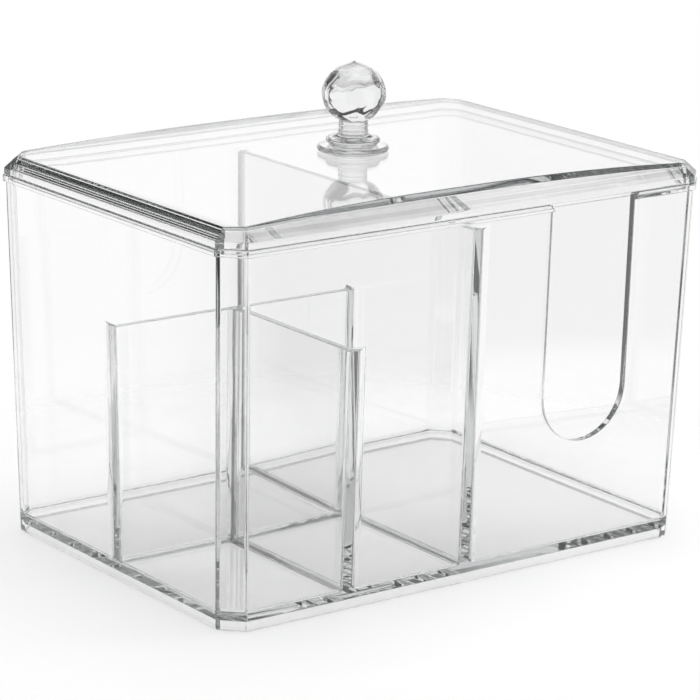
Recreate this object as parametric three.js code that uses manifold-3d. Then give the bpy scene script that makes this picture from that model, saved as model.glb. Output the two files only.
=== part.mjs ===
// Clear moulded storage box: a case with four compartments and a lift-off lid with a faceted knob.
// Lengths are in millimetres and +Z is up. The origin is the middle of the foot, on the surface below.
// +X runs along the long front wall. That wall faces -Y and has the dispensing slot.
import * as THREE from 'three';
import { mergeVertices } from 'three/addons/utils/BufferGeometryUtils.js';
import Module from 'manifold-3d';

const wasm = await Module();
wasm.setup();

// Case: outside, measured at the foot
const caseLength = 168.2;
const caseDepth = 118.8;
const caseHeight = 111.5;
const wallLean = 2.7;
const cornerCut = 6.4;
const footEdge = 1.4;
const rimProud = 0.8;
const rimHeight = 2.2;
const rimEdge = 0.4;

// Case: walls, floor and foot ring
const wallThickness = 2.3;
const floorThickness = 2.3;
const footHeight = 3.0;
const footWidth = 2.6;
const floorFillet = 1.4;
const cornerFillet = 2.2;

// Dividers: thicker at the foot than at the top, as moulded walls are
const dividerFoot = 3.0;
const dividerTop = 2.3;
const lowDividerHeight = 76.8;
const tallDividerX = 1.0;
const lowDividerY = 0.5;
const shortDividerX = -41.7;
const tallDividerGap = 2.9;

// Slot in the front wall, measured down from the rim
const slotWidth = 31.0;
const slotDepth = 74.0;
const slotMouthRadius = 1.6;

// Lid: outside, with heights measured up from the rim that it lies on
const lidInset = 0.4;
const lidBand = 2.0;
const lidEdgeHeight = 5.4;
const lidBevelWidth = 3.6;
const lidCrown = 2.2;

// Lid: underside
const lidTopThickness = 2.0;
const ribDepth = 2.0;
const ribThickness = 1.6;
const ribClearance = 0.5;

// Knob: collar, tier and ringed neck
const collarDiameter = 21.6;
const collarHeight = 1.9;
const collarEdge = 0.6;
const tierDiameter = 16.8;
const tierHeight = 1.9;
const tierEdge = 0.6;
const grooveDepth = 1.3;
const grooveHeight = 0.5;
const neckDiameter = 8.6;
const neckHeight = 5.3;
const neckFlare = 1.2;
const beadSize = 0.4;

// Knob: faceted ball, with the distance of each row of faces from its middle, and the peg below
const middleRowReach = 9.2;
const sideRowReach = 9.1;
const topRowReach = 8.85;
const facetCount = 8;
const pegDiameter = 4.4;
const pegClearance = 0.3;
const pegSetback = 0.2;
const knobSeatMargin = 1.0;

// Facet rows of the ball, as the tilt of each row's faces up from the level
const topRowTilt = THREE.MathUtils.degToRad(66);
const sideRowTilt = THREE.MathUtils.degToRad(33);

// Cutters run past the faces that they open by this much
const overrun = 2.0;

// Steps of the round shapes
const filletSteps = 3;
const slotSteps = 24;
const turnedSteps = 48;
const crownSteps = 7;
const beadCount = 2;

// Worked out from the sizes above
const leanSlope = wallLean / caseHeight;
const floorLevel = footHeight + floorThickness;
const tallDividerHeight = caseHeight - ribDepth - tallDividerGap;
const dividerSlope = (dividerFoot - dividerTop) / 2 / (tallDividerHeight - floorLevel);
const rimLength = caseLength + 2 * (wallLean + rimProud);
const rimDepth = caseDepth + 2 * (wallLean + rimProud);
const lidTop = lidEdgeHeight + lidCrown;
const tierFoot = collarHeight + grooveHeight;
const neckFoot = tierFoot + tierHeight;
const neckInBall = (neckDiameter / 2) * Math.cos(topRowTilt);
const ballLevel = neckFoot + neckHeight + (topRowReach - neckInBall) / Math.sin(topRowTilt);

function insetCut(inset) {
  // A cut corner's leg, where the outline is drawn in from the wall's face by the inset.
  return cornerCut - inset * (2 - Math.SQRT2);
}

function toSolid(geometry) {
  const bare = geometry.clone();
  bare.deleteAttribute('normal');
  bare.deleteAttribute('uv');
  const merged = mergeVertices(bare);
  const corners = merged.index.array;
  const kept = [];
  for (let i = 0; i < corners.length; i += 3) {
    const [a, b, c] = corners.slice(i, i + 3);
    // Where a turned profile meets its axis, one triangle of each pair has no area.
    if (a !== b && b !== c && c !== a) kept.push(a, b, c);
  }
  const vertProperties = new Float32Array(merged.attributes.position.array);
  const triVerts = new Uint32Array(kept);
  return new wasm.Manifold(new wasm.Mesh({ numProp: 3, vertProperties, triVerts }));
}

function toGeometry(solid) {
  const mesh = solid.getMesh();
  const geometry = new THREE.BufferGeometry();
  geometry.setAttribute('position', new THREE.BufferAttribute(mesh.vertProperties, 3));
  geometry.setIndex(new THREE.BufferAttribute(mesh.triVerts, 1));
  geometry.computeVertexNormals();
  return geometry;
}

function cutCornerOutline(length, depth, cut) {
  const right = length / 2;
  const back = depth / 2;
  const outline = new THREE.Shape();
  outline.moveTo(-right + cut, -back);
  outline.lineTo(right - cut, -back);
  outline.lineTo(right, -back + cut);
  outline.lineTo(right, back - cut);
  outline.lineTo(right - cut, back);
  outline.lineTo(-right + cut, back);
  outline.lineTo(-right, back - cut);
  outline.lineTo(-right, -back + cut);
  outline.closePath();
  return outline;
}

function outlineInRim(inset) {
  // The rim's outline, drawn in by the inset.
  const length = rimLength - 2 * inset;
  const depth = rimDepth - 2 * inset;
  return cutCornerOutline(length, depth, insetCut(inset - rimProud));
}

function upright(outline, bottom, top, edge) {
  // A block from bottom to top. Its edge rounding eats into the ends and leaves the sides in place.
  const geometry = new THREE.ExtrudeGeometry(outline, {
    depth: top - bottom - 2 * edge,
    curveSegments: filletSteps,
    bevelEnabled: edge > 0,
    bevelThickness: edge,
    bevelSize: edge,
    bevelOffset: -edge,
    bevelSegments: filletSteps,
  });
  return geometry.translate(0, 0, bottom + edge);
}

function lean(geometry, slopes, middleX, middleY) {
  // Moulding draft: each side moves outwards with height, by its own slope.
  const position = geometry.attributes.position;
  for (let i = 0; i < position.count; i += 1) {
    const x = position.getX(i);
    const y = position.getY(i);
    const z = position.getZ(i);
    const slopeX = x < middleX ? -slopes.left : slopes.right;
    const slopeY = y < middleY ? -slopes.front : slopes.back;
    position.setXY(i, x + slopeX * z, y + slopeY * z);
  }
  return geometry;
}

function roomOutline(room) {
  // Corners run from front left, anticlockwise. Each is cut like the case's corner or has a fillet.
  const corners = [
    { x: room.left, y: room.front, inX: 1, inY: 1 },
    { x: room.right, y: room.front, inX: -1, inY: 1 },
    { x: room.right, y: room.back, inX: -1, inY: -1 },
    { x: room.left, y: room.back, inX: 1, inY: -1 },
  ];
  const outline = new THREE.Shape();
  corners.forEach((corner, index) => {
    const isCut = room.cutCorners[index];
    const size = isCut ? insetCut(wallThickness) : cornerFillet;
    const alongX = [corner.x + corner.inX * size, corner.y];
    const alongY = [corner.x, corner.y + corner.inY * size];
    const [from, to] = index % 2 === 0 ? [alongY, alongX] : [alongX, alongY];
    if (index === 0) outline.moveTo(...from);
    else outline.lineTo(...from);
    if (isCut) outline.lineTo(...to);
    else outline.quadraticCurveTo(corner.x, corner.y, ...to);
  });
  outline.closePath();
  return outline;
}

function roomCutter(room, bottom, top) {
  const geometry = upright(roomOutline(room), bottom, top, floorFillet);
  const middleX = (room.left + room.right) / 2;
  const middleY = (room.front + room.back) / 2;
  return toSolid(lean(geometry, room.slopes, middleX, middleY));
}

function rooms() {
  // The faces of the four compartments, carried down to the level that the case stands on. With them
  // come the space over the low dividers and the gap over the tall divider.
  const left = -caseLength / 2 + wallThickness;
  const right = caseLength / 2 - wallThickness;
  const front = -caseDepth / 2 + wallThickness;
  const back = caseDepth / 2 - wallThickness;
  const halfFoot = dividerFoot / 2 + dividerSlope * floorLevel;
  const besideTall = tallDividerX - halfFoot;
  const wall = leanSlope;
  const thin = dividerSlope;
  const space = {
    left,
    right: besideTall,
    front,
    back,
    cutCorners: [true, false, false, true],
    slopes: { left: wall, right: thin, front: wall, back: wall },
  };
  const tall = {
    left: tallDividerX + halfFoot,
    right,
    front,
    back,
    cutCorners: [false, true, true, false],
    slopes: { left: thin, right: wall, front: wall, back: wall },
  };
  const long = {
    left,
    right: besideTall,
    front: lowDividerY + halfFoot,
    back,
    cutCorners: [false, false, false, true],
    slopes: { left: wall, right: thin, front: thin, back: wall },
  };
  const corner = {
    left,
    right: shortDividerX - halfFoot,
    front,
    back: lowDividerY - halfFoot,
    cutCorners: [true, false, false, false],
    slopes: { left: wall, right: thin, front: wall, back: thin },
  };
  const middle = {
    left: shortDividerX + halfFoot,
    right: besideTall,
    front,
    back: lowDividerY - halfFoot,
    cutCorners: [false, false, false, false],
    slopes: { left: thin, right: thin, front: wall, back: thin },
  };
  const beside = 2 * cornerFillet + overrun;
  const gap = {
    left: besideTall - beside,
    right: tall.left + beside,
    front,
    back,
    cutCorners: [false, false, false, false],
    slopes: { left: thin, right: thin, front: wall, back: wall },
  };
  return { space, tall, gap, low: [long, corner, middle] };
}

function slotCutter(room) {
  // The mouth flares into the rim on both sides, and the lower end is a half circle.
  const half = slotWidth / 2;
  const bendLevel = caseHeight - slotDepth + half;
  const outline = new THREE.Shape();
  const mouth = [];
  for (let step = 0; step <= filletSteps; step += 1) {
    const turn = (step / filletSteps) * (Math.PI / 2);
    const aside = half + slotMouthRadius * (1 - Math.sin(turn));
    mouth.push({ aside, level: caseHeight - slotMouthRadius * (1 - Math.cos(turn)) });
  }
  outline.moveTo(-half - slotMouthRadius, caseHeight + overrun);
  for (const { aside, level } of mouth) outline.lineTo(-aside, level);
  outline.absarc(0, bendLevel, half, Math.PI, 2 * Math.PI, false);
  for (const { aside, level } of mouth.reverse()) outline.lineTo(aside, level);
  outline.lineTo(half + slotMouthRadius, caseHeight + overrun);
  outline.closePath();
  const geometry = new THREE.ExtrudeGeometry(outline, {
    depth: wallThickness + wallLean + rimProud + 2 * overrun,
    curveSegments: slotSteps,
    bevelEnabled: false,
  });
  geometry.rotateX(Math.PI / 2);
  return toSolid(geometry.translate((room.left + room.right) / 2, room.front + overrun, 0));
}

function buildCase() {
  const slopes = { left: leanSlope, right: leanSlope, front: leanSlope, back: leanSlope };
  const footprint = cutCornerOutline(caseLength, caseDepth, cornerCut);
  const walls = toSolid(lean(upright(footprint, 0, caseHeight - rimEdge, footEdge), slopes, 0, 0));
  const rim = toSolid(upright(outlineInRim(0), caseHeight - rimHeight, caseHeight, rimEdge));
  const recessLength = caseLength - 2 * footWidth;
  const recessDepth = caseDepth - 2 * footWidth;
  const recessOutline = cutCornerOutline(recessLength, recessDepth, insetCut(footWidth));
  const recess = toSolid(upright(recessOutline, -overrun, footHeight, 0));
  const { space, tall, gap, low } = rooms();
  const above = caseHeight + overrun + floorFillet;
  const aboveLow = lowDividerHeight + 2 * floorFillet;
  let solid = walls.add(rim).subtract(recess);
  solid = solid.subtract(roomCutter(space, lowDividerHeight, above));
  solid = solid.subtract(roomCutter(tall, floorLevel, above));
  solid = solid.subtract(roomCutter(gap, tallDividerHeight, above));
  for (const room of low) solid = solid.subtract(roomCutter(room, floorLevel, aboveLow));
  return toGeometry(solid.subtract(slotCutter(tall)));
}

function crownedBlock(top, bottom) {
  // A block that arches along X and is level along Y, with a flat seat for the knob in the middle.
  const half = rimLength / 2;
  const seat = collarDiameter / 2 + knobSeatMargin;
  const edge = rimLength / 2 - lidInset - lidBevelWidth;
  const outline = new THREE.Shape();
  outline.moveTo(-half, bottom);
  outline.lineTo(half, bottom);
  for (const side of [1, -1]) {
    for (let i = 0; i <= crownSteps; i += 1) {
      const share = side === 1 ? 1 - i / crownSteps : i / crownSteps;
      const x = seat + (half - seat) * share;
      outline.lineTo(side * x, top - lidCrown * ((x - seat) / (edge - seat)) ** 2);
    }
  }
  outline.closePath();
  const geometry = new THREE.ExtrudeGeometry(outline, { depth: rimDepth, bevelEnabled: false });
  geometry.rotateX(Math.PI / 2);
  return toSolid(geometry.translate(0, rimDepth / 2, 0));
}

function bevelledBlock() {
  const bevelHeight = lidTop - lidBand;
  const bevelWidth = (lidBevelWidth * bevelHeight) / (lidEdgeHeight - lidBand);
  const geometry = new THREE.ExtrudeGeometry(outlineInRim(lidInset), {
    depth: lidBand + overrun,
    bevelEnabled: true,
    bevelThickness: bevelHeight,
    bevelSize: bevelWidth,
    bevelOffset: -bevelWidth,
    bevelSegments: 1,
  });
  return toSolid(geometry.translate(0, 0, -overrun));
}

function buildLid() {
  const ribInset = rimProud + wallThickness + ribClearance;
  const underside = -ribDepth - overrun;
  const cover = bevelledBlock().intersect(crownedBlock(lidTop, 0));
  const rib = toSolid(upright(outlineInRim(ribInset), -ribDepth, lidBand, 0));
  const core = toSolid(upright(outlineInRim(ribInset + ribThickness), underside, lidTop, 0));
  const hollow = core.intersect(crownedBlock(lidTop - lidTopThickness, underside));
  const holeRadius = pegDiameter / 2 + pegClearance;
  const hole = new THREE.CylinderGeometry(holeRadius, holeRadius, lidTop + overrun, turnedSteps);
  hole.rotateX(Math.PI / 2).translate(0, 0, (lidTop + overrun) / 2);
  return toGeometry(cover.add(rib).subtract(hollow).subtract(toSolid(hole)));
}

function facetedBall(rows, turn) {
  // Rows of flat faces, from the top down. Each row has its tilt and its distance from the middle.
  const first = rows[0];
  const last = rows[rows.length - 1];
  const profile = [new THREE.Vector2(0, first.reach / Math.sin(first.tilt))];
  for (let i = 1; i < rows.length; i += 1) {
    const [a, b] = [rows[i - 1], rows[i]];
    const across = Math.sin(a.tilt - b.tilt);
    const flat = (b.reach * Math.sin(a.tilt) - a.reach * Math.sin(b.tilt)) / across;
    const level = (a.reach * Math.cos(b.tilt) - b.reach * Math.cos(a.tilt)) / across;
    profile.push(new THREE.Vector2(flat / Math.cos(Math.PI / facetCount), level));
  }
  profile.push(new THREE.Vector2(0, last.reach / Math.sin(last.tilt)));
  const geometry = new THREE.LatheGeometry(profile.reverse(), facetCount, turn);
  return toSolid(geometry.rotateX(Math.PI / 2));
}

function stemProfile() {
  const collar = collarDiameter / 2;
  const tier = tierDiameter / 2;
  const neck = neckDiameter / 2;
  const pegBottom = -(lidTopThickness - pegSetback);
  const points = [
    [0, pegBottom],
    [pegDiameter / 2, pegBottom],
    [pegDiameter / 2, 0],
    [collar - collarEdge, 0],
    [collar, collarEdge],
    [collar, collarHeight - collarEdge],
    [collar - collarEdge, collarHeight],
    [tier - grooveDepth, collarHeight],
    [tier - grooveDepth, tierFoot],
    [tier, tierFoot + tierEdge],
    [tier - tierEdge, neckFoot],
    [neck + neckFlare, neckFoot],
  ];
  const beadRun = neckHeight / (beadCount + 1);
  for (let i = 1; i <= beadCount; i += 1) {
    const level = neckFoot + i * beadRun;
    points.push([neck, level - beadSize], [neck + beadSize, level], [neck, level + beadSize]);
  }
  points.push([neck, ballLevel], [0, ballLevel]);
  return points.map(([radius, level]) => new THREE.Vector2(radius, level));
}

function buildKnob() {
  const stem = new THREE.LatheGeometry(stemProfile(), turnedSteps).rotateX(Math.PI / 2);
  const halfStep = Math.PI / facetCount;
  const top = { tilt: topRowTilt, reach: topRowReach };
  const middle = { tilt: 0, reach: middleRowReach };
  const bottom = { tilt: -topRowTilt, reach: topRowReach };
  const upper = { tilt: sideRowTilt, reach: sideRowReach };
  const lower = { tilt: -sideRowTilt, reach: sideRowReach };
  const square = facetedBall([top, middle, bottom], 0);
  const staggered = facetedBall([upper, lower], halfStep);
  const ball = square.intersect(staggered).translate([0, 0, ballLevel]);
  return toGeometry(toSolid(stem).add(ball));
}

function clearPlastic(color, opacity) {
  return new THREE.MeshStandardMaterial({
    color,
    roughness: 0.06,
    metalness: 0,
    transparent: true,
    opacity,
  });
}

function piece(name, geometry, material, level) {
  const mesh = new THREE.Mesh(geometry, material);
  mesh.name = name;
  mesh.position.z = level;
  return mesh;
}

const storageBox = new THREE.Group();
storageBox.add(piece('compartment_case', buildCase(), clearPlastic(0xeef3f3, 0.3), 0));
storageBox.add(piece('lid', buildLid(), clearPlastic(0xeef3f3, 0.3), caseHeight));
storageBox.add(piece('knob', buildKnob(), clearPlastic(0xe8eeee, 0.4), caseHeight + lidTop));

export default storageBox;
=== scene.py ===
"""Clear storage box on a white studio table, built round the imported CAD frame. Lengths are in metres."""
import math

import bmesh
import bpy
from mathutils import Matrix, Vector


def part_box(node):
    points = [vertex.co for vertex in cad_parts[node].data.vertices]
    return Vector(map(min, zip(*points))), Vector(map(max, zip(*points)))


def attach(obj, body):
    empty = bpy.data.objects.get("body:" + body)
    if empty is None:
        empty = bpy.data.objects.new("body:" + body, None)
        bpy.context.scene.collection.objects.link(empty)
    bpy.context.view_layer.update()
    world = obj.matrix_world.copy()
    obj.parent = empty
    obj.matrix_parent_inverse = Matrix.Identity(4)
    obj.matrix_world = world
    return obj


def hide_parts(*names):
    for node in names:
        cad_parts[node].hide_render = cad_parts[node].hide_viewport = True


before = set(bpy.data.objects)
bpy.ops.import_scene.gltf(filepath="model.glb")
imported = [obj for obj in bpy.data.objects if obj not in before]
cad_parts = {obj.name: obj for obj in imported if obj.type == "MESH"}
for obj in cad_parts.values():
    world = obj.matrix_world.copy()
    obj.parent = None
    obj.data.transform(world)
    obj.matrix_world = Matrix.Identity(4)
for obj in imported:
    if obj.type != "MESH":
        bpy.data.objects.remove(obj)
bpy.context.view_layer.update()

MM = 0.001
WHITE = (1, 1, 1, 1)

# Camera, fitted to the photograph: its place, and its axes to the right, up and along the view
CAMERA_PLACE = (-593.7 * MM, -802.3 * MM, 329.6 * MM)
CAMERA_RIGHT = (0.8065, -0.5910, 0.0177)
CAMERA_VIEW = (0.5741, 0.7754, -0.2631)
FOCAL_PIXELS = 3417.9
PHOTO_PIXELS = 700
SENSOR_WIDTH = 36.0
CLIP_START = 10 * MM

# Softboxes over the table and to its right: place, side and watts, and the points that they are aimed at
TOP_BOX_PLACE = (0.0, 0.0, 1.0)
TOP_BOX_SIDE = 0.6
TOP_BOX_WATTS = 8.0
SIDE_BOX_PLACE = (0.75, -0.35, 0.55)
SIDE_BOX_SIDE = 0.35
SIDE_BOX_WATTS = 2.0
TABLE_MIDDLE = (0.0, 0.0, 0.0)
BOX_MIDDLE = (0.0, 0.0, 60 * MM)

# Studio: white panels round the table, each with its middle, half width, lowest and highest level.
# Azimuths run from +Y towards +X. Levels are sines of elevations, and DOWN is below the lowest.
DOWN = -1.1
PANELS = (
    (math.radians(33), math.radians(42), DOWN, 0.32),
    (math.radians(30), math.radians(22), 0.47, 0.82),
    (math.radians(90), math.radians(8), DOWN, 0.32),
    (math.radians(157), math.radians(30), DOWN, 0.32),
    (math.radians(270), math.radians(9), DOWN, 0.32),
    (math.radians(283), math.radians(21), DOWN, 0.0),
    (math.radians(334), math.radians(8), DOWN, 0.0),
)
PANEL_SOFTNESS = math.radians(2)
LEVEL_SOFTNESS = 0.02
OVERHEAD_START = 0.93
OVERHEAD_END = 0.98

# The unlit studio's brightness towards the floor and towards the ceiling, and where it turns
ROOM_LOW = 0.16
ROOM_HIGH = 0.05
ROOM_TURN = 0.1

# White table, which fades out from one radius to the other
TABLE_RADIUS = 0.19
TABLE_FADE_START = 0.12
TABLE_SEGMENTS = 128
TABLE_WHITE = 0.98
TABLE_GAP = 0.05 * MM

# Clear plastic: index of refraction, colour and density of what it absorbs, a painted glow per metre that
# lightens it as a faint haze would, and the share of a lamp's light that each of its surfaces lets through
PLASTIC_INDEX = 1.57
PLASTIC_TINT = (0.30, 0.34, 0.34, 1)
PLASTIC_DENSITY = 6.0
PAINTED_GLOW = 0.2
SHADOW_PASS = 0.95

# Its slow waves and its fine uneven gloss, as noise
WAVE_SCALE = 34.0
WAVE_DETAIL = 1.5
MOULDED_WAVES = 0.02 * MM
CUT_WAVES = 0.01 * MM
GLOSS_SCALE = 900.0
GLOSS_DETAIL = 3.0
GLOSS_ROUGHNESS = 0.012

# Flow marks in the case's rounded corners, and the levels between which they fade out.
# A surface counts as flat where its normal is nearly that of a wall, a cut corner or the floor.
FLOW_DEPTH = 0.25 * MM
FLOW_SCALE = 400.0
FLOW_DETAIL = 1.0
FLOW_STRETCH = (0.5, 0.5, 1.0)
FLOW_LOW = 14 * MM
FLOW_HIGH = 32 * MM
ROUND_NORMAL = 0.9
FLAT_NORMAL = 0.99

# Rounded edges of the moulded pieces and of the cut knob, the angle from which an edge counts as one, and
# the most of a face's width that the rounding of an edge may take
MOULDED_EDGE = 0.28 * MM
CUT_EDGE = 1.3 * MM
CASE_ANGLE = math.radians(35)
LID_ANGLE = math.radians(20)
KNOB_ANGLE = math.radians(30)
ROOM_SHARE = 0.45
EDGE_SEGMENTS = 2
FLAT_FACE_WEIGHT = 100

# What is cleaned from a piece's mesh before its edges are rounded
MERGE_DISTANCE = 0.002 * MM
FLAT_ANGLE = math.radians(0.1)
SHORT_EDGE = 0.25 * MM
SLIVER_HEIGHT = 0.01 * MM
SLIVER_ROUNDS = 3

# Faces that rest on the piece below stand off it by this much, so that light tells them apart
SEAT_GAP = 0.05 * MM

# How often light may be bent or mirrored, and how many surfaces a lamp's light may pass straight through
BOUNCES = 64
CLEAR_SURFACES = 40


def set_up_camera():
    """The camera at the photograph's place, with its axes as fitted."""
    data = bpy.data.cameras.new("photo_camera")
    data.sensor_width = SENSOR_WIDTH
    data.lens = FOCAL_PIXELS / PHOTO_PIXELS * SENSOR_WIDTH
    data.clip_start = CLIP_START
    camera = bpy.data.objects.new("photo_camera", data)
    bpy.context.scene.collection.objects.link(camera)
    right = Vector(CAMERA_RIGHT).normalized()
    back = -Vector(CAMERA_VIEW).normalized()
    up = back.cross(right).normalized()
    right = up.cross(back)
    turn = Matrix((right, up, back)).transposed()
    camera.matrix_world = Matrix.Translation(CAMERA_PLACE) @ turn.to_4x4()
    bpy.context.scene.camera = camera


def math_node(nodes, links, operation, first, second=None, third=None):
    """A Math node whose inputs are sockets or numbers. It returns the output socket."""
    node = nodes.new("ShaderNodeMath")
    node.operation = operation
    for index, value in enumerate((first, second, third)):
        if value is None:
            continue
        if isinstance(value, (int, float)):
            node.inputs[index].default_value = value
        else:
            links.new(value, node.inputs[index])
    return node.outputs[0]


def ramp_between(nodes, links, value, low, high):
    """0 below low and 1 above high, with a smooth step between."""
    node = nodes.new("ShaderNodeMapRange")
    node.interpolation_type = "SMOOTHSTEP"
    node.inputs["From Min"].default_value = low
    node.inputs["From Max"].default_value = high
    links.new(value, node.inputs["Value"])
    return node.outputs["Result"]


def ramp_round(nodes, links, value, middle, softness):
    """0 below the middle less the softness, and 1 above the middle plus the softness."""
    return ramp_between(nodes, links, value, middle - softness, middle + softness)


def noise(nodes, links, place, scale, detail):
    """Noise from 0 to 1 over a place."""
    node = nodes.new("ShaderNodeTexNoise")
    node.inputs["Scale"].default_value = scale
    node.inputs["Detail"].default_value = detail
    links.new(place, node.inputs["Vector"])
    return node.outputs["Fac"]


def set_up_world():
    """White to the camera. Other rays see white panels in a dim studio, and a white panel overhead."""
    world = bpy.data.worlds.new("studio")
    bpy.context.scene.world = world
    world.use_nodes = True
    nodes, links = world.node_tree.nodes, world.node_tree.links
    nodes.clear()
    place = nodes.new("ShaderNodeTexCoord")
    split = nodes.new("ShaderNodeSeparateXYZ")
    links.new(place.outputs["Generated"], split.inputs[0])
    angle = math_node(nodes, links, "ARCTAN2", split.outputs["X"], split.outputs["Y"])
    height = split.outputs["Z"]
    lit = ramp_between(nodes, links, height, OVERHEAD_START, OVERHEAD_END)
    for middle, half, bottom, top in PANELS:
        turned = math_node(nodes, links, "SUBTRACT", angle, middle)
        wrapped = math_node(nodes, links, "WRAP", turned, math.pi, -math.pi)
        aside = math_node(nodes, links, "ABSOLUTE", wrapped)
        beside = ramp_round(nodes, links, aside, half, PANEL_SOFTNESS)
        above = ramp_round(nodes, links, height, top, LEVEL_SOFTNESS)
        outside = math_node(nodes, links, "MAXIMUM", beside, above)
        within = math_node(nodes, links, "SUBTRACT", 1.0, outside)
        over = ramp_round(nodes, links, height, bottom, LEVEL_SOFTNESS)
        inside = math_node(nodes, links, "MINIMUM", within, over)
        lit = math_node(nodes, links, "MAXIMUM", lit, inside)
    rise = ramp_round(nodes, links, height, 0.0, ROOM_TURN)
    room = math_node(nodes, links, "MULTIPLY_ADD", rise, ROOM_HIGH - ROOM_LOW, ROOM_LOW)
    level = math_node(nodes, links, "MAXIMUM", room, lit)
    path = nodes.new("ShaderNodeLightPath")
    shown = math_node(nodes, links, "MAXIMUM", level, path.outputs["Is Camera Ray"])
    background = nodes.new("ShaderNodeBackground")
    background.inputs["Color"].default_value = WHITE
    links.new(shown, background.inputs["Strength"])
    output = nodes.new("ShaderNodeOutputWorld")
    links.new(background.outputs[0], output.inputs["Surface"])


def add_light(name, place, target, side, watts):
    """A square softbox at a place, aimed at a target. The plastic mirrors the studio, not the softbox."""
    data = bpy.data.lights.new(name, "AREA")
    data.shape = "SQUARE"
    data.size = side
    data.energy = watts
    light = bpy.data.objects.new(name, data)
    bpy.context.scene.collection.objects.link(light)
    light.location = place
    aim = Vector(target) - Vector(place)
    light.rotation_euler = aim.to_track_quat("-Z", "Y").to_euler()
    light.visible_glossy = False
    light.visible_transmission = False


def table_material():
    """White. It fades out round the table's edge, into the white background."""
    material = bpy.data.materials.new("white_table")
    material.use_nodes = True
    nodes, links = material.node_tree.nodes, material.node_tree.links
    nodes.clear()
    diffuse = nodes.new("ShaderNodeBsdfDiffuse")
    diffuse.inputs["Color"].default_value = (TABLE_WHITE, TABLE_WHITE, TABLE_WHITE, 1)
    faded = nodes.new("ShaderNodeBsdfTransparent")
    geometry = nodes.new("ShaderNodeNewGeometry")
    length = nodes.new("ShaderNodeVectorMath")
    length.operation = "LENGTH"
    links.new(geometry.outputs["Position"], length.inputs[0])
    edge = ramp_between(nodes, links, length.outputs["Value"], TABLE_FADE_START, TABLE_RADIUS)
    mix = nodes.new("ShaderNodeMixShader")
    links.new(edge, mix.inputs[0])
    links.new(diffuse.outputs[0], mix.inputs[1])
    links.new(faded.outputs[0], mix.inputs[2])
    output = nodes.new("ShaderNodeOutputMaterial")
    links.new(mix.outputs[0], output.inputs["Surface"])
    return material


def add_table():
    """A round table, just below what stands on it."""
    mesh = bpy.data.meshes.new("table")
    shape = bmesh.new()
    bmesh.ops.create_circle(shape, cap_ends=True, segments=TABLE_SEGMENTS, radius=TABLE_RADIUS)
    shape.to_mesh(mesh)
    shape.free()
    table = bpy.data.objects.new("table", mesh)
    bpy.context.scene.collection.objects.link(table)
    mesh.materials.append(table_material())
    table.location.z = -TABLE_GAP


def flow_marks(nodes, links, place):
    """Streaks that the plastic's flow leaves in the rounded corners near the floor, from 0 to 1."""
    stretch = nodes.new("ShaderNodeMapping")
    stretch.inputs["Scale"].default_value = FLOW_STRETCH
    links.new(place, stretch.inputs["Vector"])
    streaks = noise(nodes, links, stretch.outputs[0], FLOW_SCALE, FLOW_DETAIL)
    geometry = nodes.new("ShaderNodeNewGeometry")
    size = nodes.new("ShaderNodeVectorMath")
    size.operation = "ABSOLUTE"
    links.new(geometry.outputs["Normal"], size.inputs[0])
    slant = nodes.new("ShaderNodeSeparateXYZ")
    links.new(size.outputs[0], slant.inputs[0])
    level = math_node(nodes, links, "MAXIMUM", slant.outputs["X"], slant.outputs["Y"])
    both = math_node(nodes, links, "ADD", slant.outputs["X"], slant.outputs["Y"])
    diagonal = math_node(nodes, links, "MULTIPLY", both, math.sqrt(0.5))
    upright = math_node(nodes, links, "MAXIMUM", level, diagonal)
    straight = math_node(nodes, links, "MAXIMUM", upright, slant.outputs["Z"])
    flat = ramp_between(nodes, links, straight, ROUND_NORMAL, FLAT_NORMAL)
    split = nodes.new("ShaderNodeSeparateXYZ")
    links.new(place, split.inputs[0])
    high = ramp_between(nodes, links, split.outputs["Z"], FLOW_LOW, FLOW_HIGH)
    without = math_node(nodes, links, "MAXIMUM", flat, high)
    share = math_node(nodes, links, "SUBTRACT", 1.0, without)
    return math_node(nodes, links, "MULTIPLY", streaks, share)


def plastic_surface(nodes, links, waviness, flow):
    """Refracting and slightly wavy. The table sees its lamps and panels straight through it."""
    place = nodes.new("ShaderNodeTexCoord").outputs["Object"]
    waves = noise(nodes, links, place, WAVE_SCALE, WAVE_DETAIL)
    height = math_node(nodes, links, "MULTIPLY", waves, waviness)
    if flow:
        marks = flow_marks(nodes, links, place)
        height = math_node(nodes, links, "MULTIPLY_ADD", marks, flow, height)
    bump = nodes.new("ShaderNodeBump")
    bump.inputs["Strength"].default_value = 1.0
    bump.inputs["Distance"].default_value = 1.0
    links.new(height, bump.inputs["Height"])
    gloss = noise(nodes, links, place, GLOSS_SCALE, GLOSS_DETAIL)
    rough = math_node(nodes, links, "MULTIPLY", gloss, GLOSS_ROUGHNESS)
    glass = nodes.new("ShaderNodeBsdfPrincipled")
    glass.inputs["Base Color"].default_value = WHITE
    glass.inputs["Transmission Weight"].default_value = 1.0
    glass.inputs["IOR"].default_value = PLASTIC_INDEX
    links.new(bump.outputs["Normal"], glass.inputs["Normal"])
    links.new(rough, glass.inputs["Roughness"])
    clear = nodes.new("ShaderNodeBsdfTransparent")
    clear.inputs["Color"].default_value = (SHADOW_PASS, SHADOW_PASS, SHADOW_PASS, 1)
    path = nodes.new("ShaderNodeLightPath")
    shadow, diffuse = path.outputs["Is Shadow Ray"], path.outputs["Is Diffuse Ray"]
    plain = math_node(nodes, links, "MAXIMUM", shadow, diffuse)
    mix = nodes.new("ShaderNodeMixShader")
    links.new(plain, mix.inputs[0])
    links.new(glass.outputs[0], mix.inputs[1])
    links.new(clear.outputs[0], mix.inputs[2])
    return mix.outputs[0]


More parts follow.
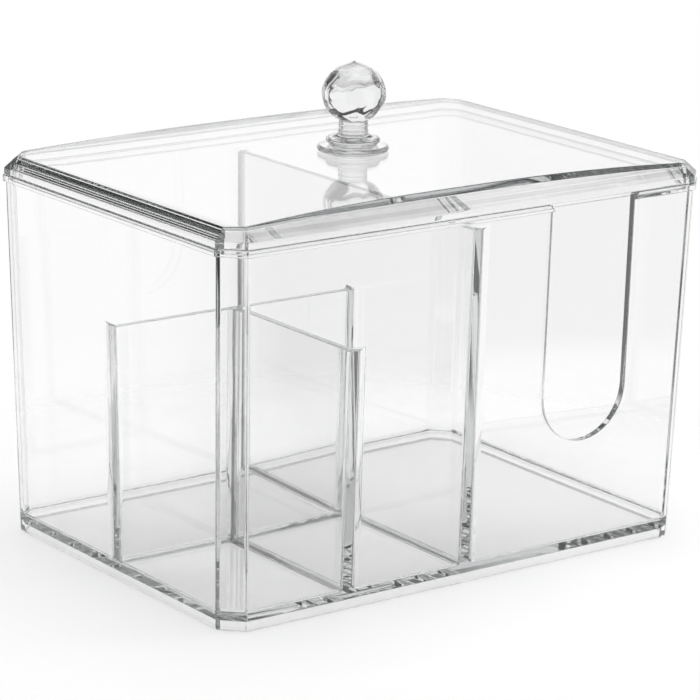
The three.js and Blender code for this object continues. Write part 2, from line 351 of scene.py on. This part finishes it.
def plastic_volume(nodes, links):
    """A little darker where light runs far in it, and lightened throughout by a faint painted glow."""
    absorb = nodes.new("ShaderNodeVolumeAbsorption")
    absorb.inputs["Color"].default_value = PLASTIC_TINT
    absorb.inputs["Density"].default_value = PLASTIC_DENSITY
    # Painted glow: the plastic gives off light of its own, which lightens its dark edges like light
    # scattered in a haze.
    painted_glow = nodes.new("ShaderNodeEmission")
    painted_glow.inputs["Strength"].default_value = PAINTED_GLOW
    both = nodes.new("ShaderNodeAddShader")
    links.new(absorb.outputs[0], both.inputs[0])
    links.new(painted_glow.outputs[0], both.inputs[1])
    return both.outputs[0]


def clear_plastic(name, waviness, flow=0):
    """Clear plastic with waves of this height and, in its rounded corners, flow marks of that height."""
    material = bpy.data.materials.new(name)
    material.use_nodes = True
    nodes, links = material.node_tree.nodes, material.node_tree.links
    nodes.clear()
    output = nodes.new("ShaderNodeOutputMaterial")
    links.new(plastic_surface(nodes, links, waviness, flow), output.inputs["Surface"])
    links.new(plastic_volume(nodes, links), output.inputs["Volume"])
    return material


def drop_slivers(shape):
    """Join each needle-thin face to the neighbour across its longest edge, always in the same order."""
    for _ in range(SLIVER_ROUNDS):
        longest = []
        for face in shape.faces:
            edge = max(face.edges, key=lambda side: side.calc_length())
            thin = 2 * face.calc_area() < SLIVER_HEIGHT * edge.calc_length()
            if thin and edge not in longest:
                longest.append(edge)
        if not longest:
            break
        bmesh.ops.dissolve_edges(shape, edges=longest, use_verts=True)


def cleaned_shape(node):
    """The CAD node's shape without double corners, seams in flat faces and slivers."""
    shape = bmesh.new()
    shape.from_mesh(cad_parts[node].data)
    bmesh.ops.remove_doubles(shape, verts=shape.verts, dist=MERGE_DISTANCE)
    bmesh.ops.dissolve_limit(shape, angle_limit=FLAT_ANGLE, verts=shape.verts, edges=shape.edges)
    drop_slivers(shape)
    shape.verts.index_update()
    return shape


def room_beside(edge):
    """The width of the narrower of the two faces at an edge, measured across it."""
    start, end = (vertex.co for vertex in edge.verts)
    along = (end - start).normalized()
    widths = []
    for face in edge.link_faces:
        offsets = [vertex.co - start for vertex in face.verts]
        widths.append(max((offset - along * offset.dot(along)).length for offset in offsets))
    return min(widths)


def sharp_edges(shape, rounding, edge_angle):
    """The edges to round, each with the share of the rounding that it has room for, and those too short to
    round. Each edge goes by the indices of its two ends."""
    rounded, kept_sharp = {}, set()
    for edge in shape.edges:
        ends = frozenset(vertex.index for vertex in edge.verts)
        if edge.calc_face_angle() <= edge_angle:
            continue
        if edge.calc_length() > SHORT_EDGE:
            rounded[ends] = min(1.0, ROOM_SHARE * room_beside(edge) / rounding)
        else:
            kept_sharp.add(ends)
    return rounded, kept_sharp


def raise_seat(shape, seat):
    """Lift the faces at the seat's level a little off the piece below."""
    for vertex in shape.verts:
        if abs(vertex.co.z - seat) < MERGE_DISTANCE:
            vertex.co.z += SEAT_GAP


def weighted_mesh(name, shape, rounded, kept_sharp):
    """A smooth mesh of the shape, in which each edge's weight is its share of the rounding."""
    corners = [vertex.co.copy() for vertex in shape.verts]
    faces = [[vertex.index for vertex in face.verts] for face in shape.faces]
    mesh = bpy.data.meshes.new(name)
    mesh.from_pydata(corners, [], faces)
    mesh.shade_smooth()
    weights = mesh.attributes.new("bevel_weight_edge", "FLOAT", "EDGE")
    for edge in mesh.edges:
        ends = frozenset(edge.vertices)
        weights.data[edge.index].value = rounded.get(ends, 0.0)
        edge.use_edge_sharp = ends in kept_sharp
    return mesh


def soften(piece, rounding):
    """Round the weighted edges, join the corners that meet there, and keep the flat faces flat."""
    bevel = piece.modifiers.new("soft_edges", "BEVEL")
    bevel.width = rounding
    bevel.segments = EDGE_SEGMENTS
    bevel.limit_method = "WEIGHT"
    bevel.use_clamp_overlap = False
    bevel.miter_outer = "MITER_ARC"
    weld = piece.modifiers.new("joined_corners", "WELD")
    weld.merge_threshold = MERGE_DISTANCE
    weigh = piece.modifiers.new("flat_faces", "WEIGHTED_NORMAL")
    weigh.mode = "FACE_AREA"
    weigh.weight = FLAT_FACE_WEIGHT
    weigh.keep_sharp = True


def add_piece(node, name, body, material, rounding, edge_angle, seat=None):
    """A piece in the CAD node's shape with softly rounded edges, in place of the node. A seat is the level
    of the faces that rest on the piece below."""
    shape = cleaned_shape(node)
    rounded, kept_sharp = sharp_edges(shape, rounding, edge_angle)
    if seat is not None:
        raise_seat(shape, seat)
    mesh = weighted_mesh(name, shape, rounded, kept_sharp)
    shape.free()
    mesh.materials.append(material)
    piece = bpy.data.objects.new(name, mesh)
    bpy.context.scene.collection.objects.link(piece)
    soften(piece, rounding)
    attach(piece, body)
    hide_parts(node)


def add_pieces():
    """The case, the lid that rests on its rim, and the knob that rests on the lid."""
    rim_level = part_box("compartment_case")[1][2]
    lid_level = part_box("lid")[1][2]
    plastic = clear_plastic("clear_plastic", MOULDED_WAVES)
    flowed = clear_plastic("flowed_plastic", MOULDED_WAVES, FLOW_DEPTH)
    crystal = clear_plastic("cut_plastic", CUT_WAVES)
    add_piece("compartment_case", "moulded_case", "case", flowed, MOULDED_EDGE, CASE_ANGLE)
    add_piece("lid", "moulded_lid", "lid", plastic, MOULDED_EDGE, LID_ANGLE, rim_level)
    add_piece("knob", "cut_knob", "lid", crystal, CUT_EDGE, KNOB_ANGLE, lid_level)


set_up_camera()
set_up_world()
add_table()
add_light("top_softbox", TOP_BOX_PLACE, TABLE_MIDDLE, TOP_BOX_SIDE, TOP_BOX_WATTS)
add_light("side_softbox", SIDE_BOX_PLACE, BOX_MIDDLE, SIDE_BOX_SIDE, SIDE_BOX_WATTS)
add_pieces()

scene = bpy.context.scene
scene.view_settings.view_transform = "Standard"
scene.cycles.max_bounces = BOUNCES
scene.cycles.transmission_bounces = BOUNCES
scene.cycles.glossy_bounces = BOUNCES
scene.cycles.transparent_max_bounces = CLEAR_SURFACES
